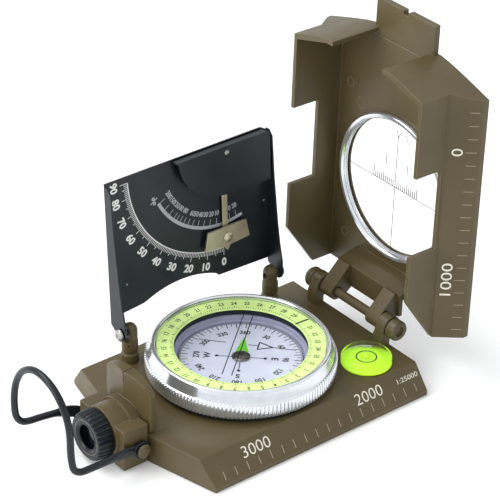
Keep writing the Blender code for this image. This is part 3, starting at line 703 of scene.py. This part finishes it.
for s in (-1, 1):
    gap = [(-15.3, low_z - 1.0), (9.1, low_z - 1.0), (9.1, 18.6), (-15.3, 18.6)]
    end = [(23.5, low_z - 1.0), (LID_END + 1.0, low_z - 1.0), (LID_END + 1.0, bevel_z),
           (LID_END, bevel_z), (23.5, low_z)]
    low, high = sorted((s * 24.0, s * 29.0))
    steps.append(('cut', prism(gap, 'X', low, high)))
    steps.append(('cut', prism(end, 'X', low, high)))
steps.append(('join', box((-TAB_HALF, TAB_HALF), (TAB_END, LID_NOSE + 1.5), (26.4, CLOSED_H))))
steps.append(('cut', box((-1.0, 1.0), (TAB_END - 1.0, TAB_END + 1.1), (25.0, CLOSED_H + 1.0))))
steps.append(('cut', box((-12.2, 12.2), (-39.4, -39.1), (in_z - 0.2, in_z + 0.1))))
lid = rounded(carve(prism(section, 'Y', LID_NOSE, LID_END), *steps), 0.28)
steps = []
for s in (-1, 1):
    arm = [(31.2, 20.3), (30.5, 18.3)] + arc((HINGE_Y, HINGE_Z), 2.6, 225, 372, 28)
    arm += [(40.2, 17.2), (37.9, 20.3)]
    low, high = sorted((s * 7.4, s * 12.4))
    steps.append(('join', rounded(prism(arm, 'X', low, high), 0.3)))
sill = [(29.2, in_z + 0.4), (31.1, 19.3), (38.0, 19.3), (38.0, 20.7), (32.4, 20.7), (30.8, in_z + 0.4)]
steps.append(('join', rounded(prism(sill, 'X', -13.4, 13.4), 0.25)))
for x, y, r in ((-20.8, -20.6, 1.3), (-15.5, -16.2, 1.9), (20.5, -20.6, 1.3), (-19.5, 27.5, 1.3)):
    rim = [(r - 0.2, in_z - 0.15), (r + 0.2, in_z - 0.15), (r + 0.2, in_z + 0.3),
           (r - 0.2, in_z + 0.3)]
    steps.append(('join', shifted(turned(rim, 40), x, y, 0)))
steps.append(('cut', shifted(rod(HINGE_BORE, -20.0, 20.0, 'X', 32), 0, HINGE_Y, HINGE_Z)))
hole = [(0.0, 0.0), (WINDOW_R + 0.4, 0.0), (WINDOW_R + 0.4, in_z), (WINDOW_R, in_z + 0.35),
        (WINDOW_R, 27.95), (20.4, 27.95), (20.4, 40.0), (0.0, 40.0)]
steps.append(('cut', shifted(turned(hole, 128), 0, WINDOW_Y, 0)))
piece('lid_casting', carve(lid, *steps), OLIVE, 'lid', LID, stands_for=['lid_shell'])

frame_ring = [(20.95, 25.45), (21.2, 25.2), (21.95, 25.2), (22.2, 25.45), (22.25, 26.4), (21.05, 26.4),
              (21.05, 26.9), (20.4, 26.9), (20.4, 26.7), (20.7, 26.55), (20.7, 26.2), (20.5, 26.1),
              (20.5, 25.9), (20.75, 25.8)]
piece('window_frame', turned(frame_ring, 144), CHROME, 'lid', WINDOW,
      stands_for=['window_ring'])
piece('window_pane', rod(20.9, 27.0, 27.8, 'Z', 144), GLASS, 'lid', WINDOW,
      stands_for=['window_glass'])
RETICLE = WINDOW @ sheet_plane((0, 0, 26.97), (1, 0, 0), (0, -1, 0))
sight = bmesh.new()
line(sight, (0, -20.3), (0, 16.4), 0.2)
line(sight, (-20.3, 0), (20.3, 0), 0.17)
for k in range(-11, 12):
    tall = {-11: 3.4, -6: 2.9, 6: 2.9, 11: 3.4}.get(k, 2.0)
    line(sight, (k * 0.82, 0), (k * 0.82, tall), 0.24)
for x in (-4.2, 4.6):
    line(sight, (x, 5.6), (x, 9.0), 0.2)
line(sight, (-0.9, 18.3), (0.1, 15.9), 0.17)
line(sight, (1.3, 18.2), (0.1, 15.9), 0.17)
line(sight, (3.2, 17.6), (4.3, 15.2), 0.17)
print_on('reticle', sight, INK, 'lid', RETICLE)

LID_BEVEL = LID @ sheet_plane((BASE_HALF, 0, CLOSED_H - EDGE_H), (0, -1, 0),
                              (TOP_HALF - BASE_HALF, 0, bevel_z + 0.1 - CLOSED_H + EDGE_H))
scale = bmesh.new()
for k in range(18):
    line(scale, (32.8 - 4 * k, 0.9), (32.8 - 4 * k, 3.95 if k % 5 == 3 else 3.6), 0.15)
print_on('lid_scale', scale, DULL_INK, 'lid', LID_BEVEL)
scale = bmesh.new()
write(scale, '0', (20.8, 6.2), 3.1, 0, 0.0, 1.18)
write(scale, '1000', (-19.0, 6.2), 3.1, 0, 0.0, 1.32)
print_on('lid_numbers', scale, CREAM_INK, 'lid', LID_BEVEL)

# =============================================================== hinge pin
HINGE = Matrix.Translation((0, HINGE_Y, HINGE_Z))
pin = [(0.0, -16.6), (1.4, -16.6), (1.4, 16.55), (2.85, 16.55), (3.0, 16.7), (3.0, 18.9), (2.75, 19.35),
       (2.4, 19.5), (1.7, 19.5), (1.55, 19.35), (1.5, 18.7), (0.0, 18.7)]
piece('hinge_bolt', turned(pin, 48, 'X'), OLIVE, 'base', HINGE, stands_for=['hinge_pin'])
nut = [(0.0, -19.6), (1.6, -19.5), (2.6, -19.1), (3.0, -18.5), (3.05, -17.9), (2.75, -17.6),
       (2.75, -17.4), (3.0, -17.2), (3.0, -16.7), (2.85, -16.55), (1.7, -16.55), (1.7, -16.85),
       (0.0, -16.85)]
piece('hinge_cap', turned(nut, 48, 'X'), OLIVE, 'base', HINGE, stands_for=['hinge_nut'])

# =============================================================== clinometer
FACE = FOLD @ sheet_plane((FACE_X, 0, 0), (0, 1, 0), (0, 0, 1))


def flange(s):
    """One bent side of the sheet, down to its round foot."""
    front, t = FACE_X, 0.5
    outline = [(front - t, PLATE_TOP - 0.9), (front + 0.9, PLATE_TOP - 0.9),
               (front + 2.3, PLATE_TOP - 2.6), (front + 2.9, 30.0), (front + 4.1, 16.0),
               (front + 5.0, 9.0), (front + 6.0, 4.0)]
    outline += arc((0.0, 0.0), 2.2, 4, -176, 24) + [(front - t, 1.6)]
    a, b = sorted((s * (PLATE_HALF - t), s * PLATE_HALF))
    return loft([[(x, y, z) for x, z in outline] for y in (a, b)])


arch = [(PLATE_HALF, 2.9), (PLATE_HALF, PLATE_TOP - 3.2)]
arch += arc((PLATE_HALF - 3.2, PLATE_TOP - 3.2), 3.2, 10, 90, 10)
arch += [(-PLATE_HALF, PLATE_TOP), (-PLATE_HALF, 3.4), (-17.3, 4.3)]
chord, sag = 26.8, 3.0
bow = chord * chord / (8.0 * sag) + sag / 2.0
for i in range(1, 24):
    y = -17.3 + chord * i / 24.0
    arch.append((y, 4.1 + sag - bow + math.sqrt(bow * bow - (y + 17.3 - chord / 2.0) ** 2)))
arch += [(9.5, 3.6)]
sheet = carve(prism(arch, 'X', FACE_X - 0.5, FACE_X), ('join', flange(-1)), ('join', flange(1)),
              ('cut', rod(1.0, -40.0, 40.0, 'Y', 24)))
piece('scale_plate', rounded(sheet, 0.1, 2, 50), BLACK, 'clinometer', FOLD,
      stands_for=['clino_plate'])
hood = [(27.2, 29.6), (27.2, PLATE_TOP - 1.8)] + arc((25.8, PLATE_TOP - 1.8), 1.4, 0, 90, 8)
hood += [(-5.6, PLATE_TOP - 0.4), (-5.2, 44.2)]
for i in range(1, 30):
    a = math.radians(178 + 88 * i / 30)
    hood.append((13.6 + 18.6 * math.cos(a), 45.0 + 15.2 * math.sin(a)))
hood += [(13.0, 29.8)]
hood = carve(prism(hood, 'X', -2.0, -1.5),
             ('join', box((-3.65, -1.6), (-5.6, 25.8), (PLATE_TOP - 0.9, PLATE_TOP - 0.4))),
             ('join', box((-3.65, -1.6), (26.7, 27.2), (29.6, PLATE_TOP - 1.8))))
piece('scale_cover', rounded(hood, 0.1, 2, 50), BLACK, 'clinometer', FOLD,
      stands_for=['clino_cover'])

ARC_Y, ARC_H = 11.5, 44.35


def on_arc(radius, angle):
    """A point of the scale; 0 is straight down and 90 toward the eyepiece."""
    a = math.radians(angle)
    return Vector((ARC_Y - radius * math.sin(a), ARC_H - radius * math.cos(a)))


def arc_band(bm, r_in, r_out, first, last):
    band(bm, r_in, r_out, 270 - last, 270 - first, 72, (ARC_Y, ARC_H))


white = bmesh.new()
arc_band(white, 32.15, 32.45, 0, 88)
for k in range(0, 91):
    outer = 34.9 if k % 10 == 0 else (34.3 if k % 5 == 0 else 33.7)
    line(white, on_arc(32.3, min(k, 88.2)), on_arc(outer, min(k, 88.2)), 0.17)
for k in range(0, 10):
    a = 10 * k if k < 9 else 88
    write(white, str(10 * k), on_arc(37.0, a), 2.5, -a, 0.035, 1.0)
print_on('degree_scale', white, WHITE_INK, 'clinometer', FACE)
silver = bmesh.new()
arc_band(silver, 24.2, 25.2, -16, 64)
PERCENTS = [0, 10, 20, 30, 40, 50, 60, 70, 80, 90, 100, 120, 150, 200]
for p in PERCENTS:
    a = math.degrees(math.atan(p / 100))
    line(silver, on_arc(22.4, a), on_arc(24.3, a), 0.17)
    if 0 < p <= 20:
        line(silver, on_arc(22.4, -a), on_arc(24.3, -a), 0.17)
    if p in (10, 20, 30, 40, 50, 60, 80, 100, 120, 150, 200):
        write(silver, str(p), on_arc(20.7, a), 1.6, -a, 0.03, 0.78)
    if p in (10, 20):
        write(silver, str(p), on_arc(20.7, -a), 1.6, a, 0.03, 0.78)
write(silver, '%', on_arc(25.6, 68), 2.3, -25, 0.02)
print_on('percent_scale', silver, SILVER_INK, 'clinometer', FACE)
dots = bmesh.new()
band(dots, 0.0001, 0.28, n=20, centre=(-22.6, 12.3))
band(dots, 0.0001, 0.28, n=20, centre=(26.4, 22.0))
print_on('plate_dots', dots, SILVER_INK, 'clinometer', FACE)

needle = carve(rounded(box((-3.3, -2.9), (-0.95, 0.95), (-29.5, 0.9)), 0.12, 2),
               ('cut', rod(0.75, -8.0, 0.0, 'X', 24)))
piece('needle', needle, NICKEL, 'pendulum', SWING, stands_for=['pendulum_needle'])
blade = [(-6.9, -23.6), (6.9, -23.6), (8.1, -29.3), (1.2, -29.7), (0.0, -31.4), (-1.2, -29.7),
         (-8.1, -29.3)]
piece('needle_weight', rounded(prism(blade, 'X', -2.75, -2.05), 0.14, 2), NICKEL, 'pendulum',
      SWING, stands_for=['pendulum_weight'])
stud = [(0.0, -3.75), (1.0, -3.75), (1.4, -3.45), (0.7, -3.45), (0.7, -1.9), (1.5, -1.95),
        (1.55, -1.75), (1.3, -1.45), (0.8, -1.25), (0.35, -1.2), (0.3, -1.32), (0.0, -1.35)]
piece('weight_rivet', turned(stud, 40, 'X'), NICKEL, 'pendulum',
      SWING @ Matrix.Translation((0, 0, -27.0)), stands_for=['pendulum_rivet'])
stud = [(0.0, -4.95), (1.3, -4.85), (1.3, -4.55), (0.6, -4.55), (0.6, -1.5), (0.75, -1.45),
        (0.7, -1.25), (0.4, -1.12), (0.0, -1.08)]
piece('needle_pin', turned(stud, 40, 'X'), STEEL, 'clinometer', SWING,
      stands_for=['pendulum_pin'])

for s, name in ((-1, 'rear'), (1, 'front')):
    foot = [(0.0, 4.0), (1.3, 4.0), (1.3, 8.7), (2.3, 8.7), (2.5, 8.9), (2.5, 11.1), (2.35, 11.3),
            (2.15, 11.5), (2.15, 11.8), (2.3, 12.0), (2.35, 12.3), (2.35, 15.2), (2.2, 15.6),
            (2.2, 18.4)] + [(2.2 * math.cos(math.radians(a)), 18.4 + 2.4 * math.sin(math.radians(a)))
                            for a in range(15, 90, 15)] + [(0.0, 20.8)]
    y_out = (26.3, 29.0)
    hollow = box((-3.0, 3.0), sorted(s * (y - POST_Y) for y in y_out), (15.4, 22.0))
    steps = [('cut', hollow), ('cut', shifted(rod(0.95, -6.0, 6.0, 'Y', 24), 0, 0, FOLD_Z))]
    for z, across in ((15.9, 0.15), (14.4, -0.35)):
        pit = shifted(rod(0.32, 1.6, 3.0, 'X', 16), 0, across, z)
        bmesh.ops.rotate(pit, verts=pit.verts, matrix=Matrix.Rotation(math.radians(-38), 3, 'Z'))
        steps.append(('cut', pit))
    post = carve(turned(foot, 64), *steps)
    piece('fold_post_' + name, post, OLIVE, 'base',
          Matrix.Translation((POST_X, s * POST_Y, 0)), stands_for=['post_' + name])
    screw = [(0.0, 24.7), (0.7, 24.7), (0.7, 28.45), (1.7, 28.5), (1.85, 28.7), (1.7, 29.1), (1.2, 29.4),
             (0.5, 29.5), (0.45, 29.3), (0.0, 29.3)]
    piece('fold_stud_' + name, turned([(r, s * a) for r, a in screw], 40, 'Y'), STEEL, 'base',
          Matrix.Translation((POST_X, 0, FOLD_Z)), stands_for=['fold_screw_' + name])

# =============================================================== eyepiece
block = rounded(box((-BLOCK_HALF, BLOCK_HALF), (-51.2, -43.2), (0.4, 12.75)), 0.35)
leaf = [(-9.9, 8.9), (9.9, 8.9)] + [(9.9 * math.cos(math.radians(a)),
                                     19.9 + 4.3 * math.sin(math.radians(a))) for a in range(0, 181, 6)]
vee = [(0.0, -43.9), (12.0, -41.9), (12.0, -47.0), (-12.0, -47.0), (-12.0, -41.9)]
plate = rounded(carve(prism(leaf, 'Y', -44.6, -40.4), ('cut', prism(vee, 'Z', 5.0, 30.0))), 0.25, 3, 40)
barrel = [(0.0, -51.6), (6.9, -51.6), (7.2, -51.45), (7.3, -51.1), (7.3, -42.9), (0.0, -42.9)]
collar = [(7.0, -46.2), (7.95, -46.2), (8.0, -45.7), (7.9, -43.2), (7.0, -43.2)]
bore = [(0.0, -53.0), (5.3, -53.0), (5.3, -45.4), (2.6, -45.4), (2.6, -44.0), (0.0, -44.0)]
steps = [('join', shifted(turned(barrel, 80, 'Y'), 0, 0, EYE_Z)),
         ('join', shifted(turned(collar, 80, 'Y'), 0, 0, EYE_Z)), ('join', plate),
         ('cut', box((-0.2, 0.2), (-46.0, -38.0), (20.6, 26.0))),
         ('cut', shifted(turned(bore, 64, 'Y'), 0, 0, EYE_Z)),
         ('cut', box((-12.0, 12.0), (-60.0, -40.0), (-3.0, 0.4)))]
for s in (-1, 1):
    bore = rod(1.25, s * 8.0, s * 12.0, 'X', 24)
    steps.append(('cut', shifted(bore, 0, LOOP_Y, LOOP_Z)))
    steps.append(('cut', drill(0.8, -1.0, 12.1, s * 6.3, -41.3, 20)))
piece('eyepiece_casting', carve(block, *steps), OLIVE, 'base',
      stands_for=['eyepiece_housing'])

knob = [(5.45, -51.95), (6.6, -51.95), (7.1, -52.0, 1), (7.25, -52.3, 1), (6.85, -55.9, 1),
        (6.6, -56.25, 1), (6.2, -56.5), (5.7, -56.6), (5.3, -56.5), (5.15, -56.3), (4.95, -56.3),
        (4.85, -56.5), (4.5, -56.6), (4.2, -56.5), (3.6, -56.05), (3.5, -55.95), (3.5, -55.7),
        (5.3, -55.6)]
piece('ribbed_knob', turned(knob, axis='Y', ridges=30, depth=0.5), RUBBER, 'knob', EYE,
      stands_for=['focus_knob'], flat=False)
piece('knob_trim', turned([(4.94, -56.28), (5.18, -56.28), (5.18, -56.42), (4.94, -56.42)], 72, 'Y'),
      DARK_METAL, 'knob', EYE)
tube = [(4.1, -54.4), (5.0, -54.4), (5.0, -46.6), (4.1, -46.6)]
piece('focus_tube', turned(tube, 64, 'Y'), RUBBER, 'lens', EYE, stands_for=['lens_tube'])
for name, low, high in (('eye_lens', -54.3, -53.0), ('field_lens', -49.2, -48.2)):
    curve = [(0.0, low - 0.35), (1.2, low - 0.3), (2.4, low - 0.12), (3.4, low + 0.1), (3.85, low + 0.25),
             (3.85, high - 0.2), (2.4, high + 0.1), (1.2, high + 0.22), (0.0, high + 0.25)]
    piece(name + '_glass', turned(curve, 64, 'Y'), SHADE_TINTED_LENS, 'lens', EYE, stands_for=[name])

# =============================================================== thumb loop
route = [(11.1, -48.3, 6.5), (11.4, -51.5, 7.3), (11.6, -57.5, 7.6), (11.6, -63.4, 7.7),
         (11.5, -66.2, 7.9), (11.2, -67.9, 9.0), (11.0, -68.5, 11.2), (10.8, -68.7, 15.0),
         (10.7, -68.7, 19.0), (10.3, -68.8, 22.8), (9.0, -68.9, 26.4), (6.8, -69.0, 29.4),
         (3.4, -69.0, 31.7), (-1.3, -69.0, 32.8), (-5.9, -69.0, 32.0), (-10.1, -69.1, 29.2),
         (-12.8, -69.2, 25.0), (-13.9, -69.4, 20.4), (-14.1, -69.4, 16.0), (-13.9, -69.1, 12.8),
         (-13.4, -67.9, 11.0), (-13.2, -65.6, 10.2), (-13.1, -61.5, 9.8), (-12.8, -56.0, 9.1),
         (-12.2, -51.5, 7.9), (-11.1, -48.3, 6.6)]


def smooth_path(points, per):
    """A smooth curve through the points."""
    pts = [Vector(p) for p in points]
    pts = [pts[0] * 2 - pts[1]] + pts + [pts[-1] * 2 - pts[-2]]
    out = []
    for k in range(1, len(pts) - 2):
        a, b, c, d = pts[k - 1:k + 3]
        for i in range(per):
            t = i / per
            out.append(0.5 * (2 * b + (c - a) * t + (2 * a - 5 * b + 4 * c - d) * t * t
                              + (3 * b - a - 3 * c + d) * t * t * t))
    out.append(pts[-2])
    return out


def bar(points, sides):
    """A round bar along a path, hammered flat toward its two ends."""
    sections = []
    lean = Vector((1.0, 0.0, 0.0))
    for i, p in enumerate(points):
        ahead = (points[min(i + 1, len(points) - 1)] - points[max(i - 1, 0)]).normalized()
        lean = (lean - ahead * lean.dot(ahead)).normalized()
        across = ahead.cross(lean)
        from_end = min((p - points[0]).length, (p - points[-1]).length)
        t = max(0.0, min(1.0, (from_end - 5.0) / 5.5))
        t = t * t * (3 - 2 * t)
        thin, wide = 0.55 + 0.45 * t, 1.6 - 0.6 * t
        sections.append([p + lean * math.cos(a) * thin + across * math.sin(a) * wide
                         for a in (2 * math.pi * k / sides for k in range(sides))])
    return loft(sections)


steps = []
for s in (-1, 1):
    pad = [(-2.6, 1.2), (-1.5, 2.3), (0.6, 2.5), (2.2, 1.6), (2.7, 0.0), (2.2, -1.6), (0.6, -2.5),
           (-1.5, -2.3), (-2.9, -0.6)]
    low, high = sorted((s * 10.5, s * 11.7))
    eyelet = rounded(prism(pad, 'X', low, high), 0.3, 3, 20)
    steps.append(('join', shifted(eyelet, 0, LOOP_Y, LOOP_Z)))
steps.append(('cut', shifted(rod(LOOP_BORE, -20.0, 20.0, 'X', 32), 0, LOOP_Y, LOOP_Z)))
piece('wire_loop', carve(bar(smooth_path(route, 5), 16), *steps), WIRE, 'loop',
      stands_for=['thumb_loop'], smooth=50)
for s, name in ((-1, 'left'), (1, 'right')):
    bolt = [(0.0, 8.3), (1.0, 8.3), (1.0, 11.95), (1.9, 11.95), (2.05, 12.15), (1.95, 12.6), (1.6, 12.85),
            (0.6, 12.95), (0.5, 12.7), (0.0, 12.7)]
    piece('loop_bolt_' + name, turned([(r, s * a) for r, a in bolt], 40, 'X'), OLIVE, 'base',
          Matrix.Translation((0, LOOP_Y, LOOP_Z)), stands_for=['loop_screw_' + name])

# =============================================================== carried-over nodes
for names, mat in ((['base_plate'], OLIVE), (['bearing_ring'], BLACK), (['tripod_bush'], BRASS),
                   (['pivot_pin', 'housing_screw_1', 'housing_screw_2'] +
                    ['base_screw_%d' % k for k in (1, 2, 3, 4)], STEEL)):
    for name in names:
        NODES[name].data.materials.clear()
        NODES[name].data.materials.append(mat)

# =============================================================== camera
cam = bpy.data.cameras.new('camera')
camera = bpy.data.objects.new('camera', cam)
bpy.context.collection.objects.link(camera)
AZIMUTH, ELEVATION, ROLL = map(math.radians, (50.77, 31.184, 0.987))
EYE_POINT = (433.866, -355.131, 385.343)
look = Vector((-math.sin(AZIMUTH) * math.cos(ELEVATION), math.cos(AZIMUTH) * math.cos(ELEVATION),
               -math.sin(ELEVATION)))
level = Vector((math.cos(AZIMUTH), math.sin(AZIMUTH), 0))
above = level.cross(look)
right = level * math.cos(ROLL) + above * math.sin(ROLL)
up = above * math.cos(ROLL) - level * math.sin(ROLL)
camera.matrix_world = (Matrix.Translation(Vector(EYE_POINT) * MM)
                       @ Matrix((right, up, -look)).transposed().to_4x4())
cam.sensor_width = 36.0
cam.lens = 173.75
cam.clip_start, cam.clip_end = 0.01, 20.0
scene = bpy.context.scene
scene.camera = camera

# =============================================================== light and floor
scene.view_settings.view_transform = 'Standard'
world = bpy.data.worlds.new('studio')
scene.world = world
world.use_nodes = True
sky = world.node_tree
background = sky.nodes['Background']
background.inputs['Strength'].default_value = 1.0
where = sky.nodes.new('ShaderNodeTexCoord')
split = sky.nodes.new('ShaderNodeSeparateXYZ')
ramp = sky.nodes.new('ShaderNodeValToRGB')
sky.links.new(where.outputs['Generated'], split.inputs[0])
sky.links.new(split.outputs['Z'], ramp.inputs['Fac'])
sky.links.new(ramp.outputs['Color'], background.inputs['Color'])
ramp.color_ramp.elements[0].position = 0.0
ramp.color_ramp.elements[0].color = (0.8, 0.82, 0.85, 1)
ramp.color_ramp.elements[1].position = 0.55
ramp.color_ramp.elements[1].color = (0.95, 0.96, 0.97, 1)


def lamp(name, place, size, power, aim=(0, 0, 0.03)):
    """A soft box that faces the compass."""
    data = bpy.data.lights.new(name, 'AREA')
    data.shape = 'RECTANGLE'
    data.size, data.size_y = size
    data.energy = power
    ob = bpy.data.objects.new(name, data)
    bpy.context.collection.objects.link(ob)
    ob.location = place
    ob.rotation_euler = (Vector(aim) - Vector(place)).to_track_quat('-Z', 'Y').to_euler()


lamp('key', (-0.45, -0.35, 0.85), (0.6, 0.6), 5.0)
lamp('fill', (-0.2, -0.9, 0.35), (0.5, 0.4), 3.0)
mesh = bpy.data.meshes.new('floor')
mesh.from_pydata([(-3, -3, 0), (3, -3, 0), (3, 3, 0), (-3, 3, 0)], [], [(0, 1, 2, 3)])
pale = Shader('pale floor', (0.93, 0.93, 0.93), 0.6)
pale.mottled(4, 0.004)
pale.set('Emission Color', (1, 1, 1, 1))
pale.set('Emission Strength', 0.1)
mesh.materials.append(pale.mat)
floor = bpy.data.objects.new('floor', mesh)
bpy.context.collection.objects.link(floor)
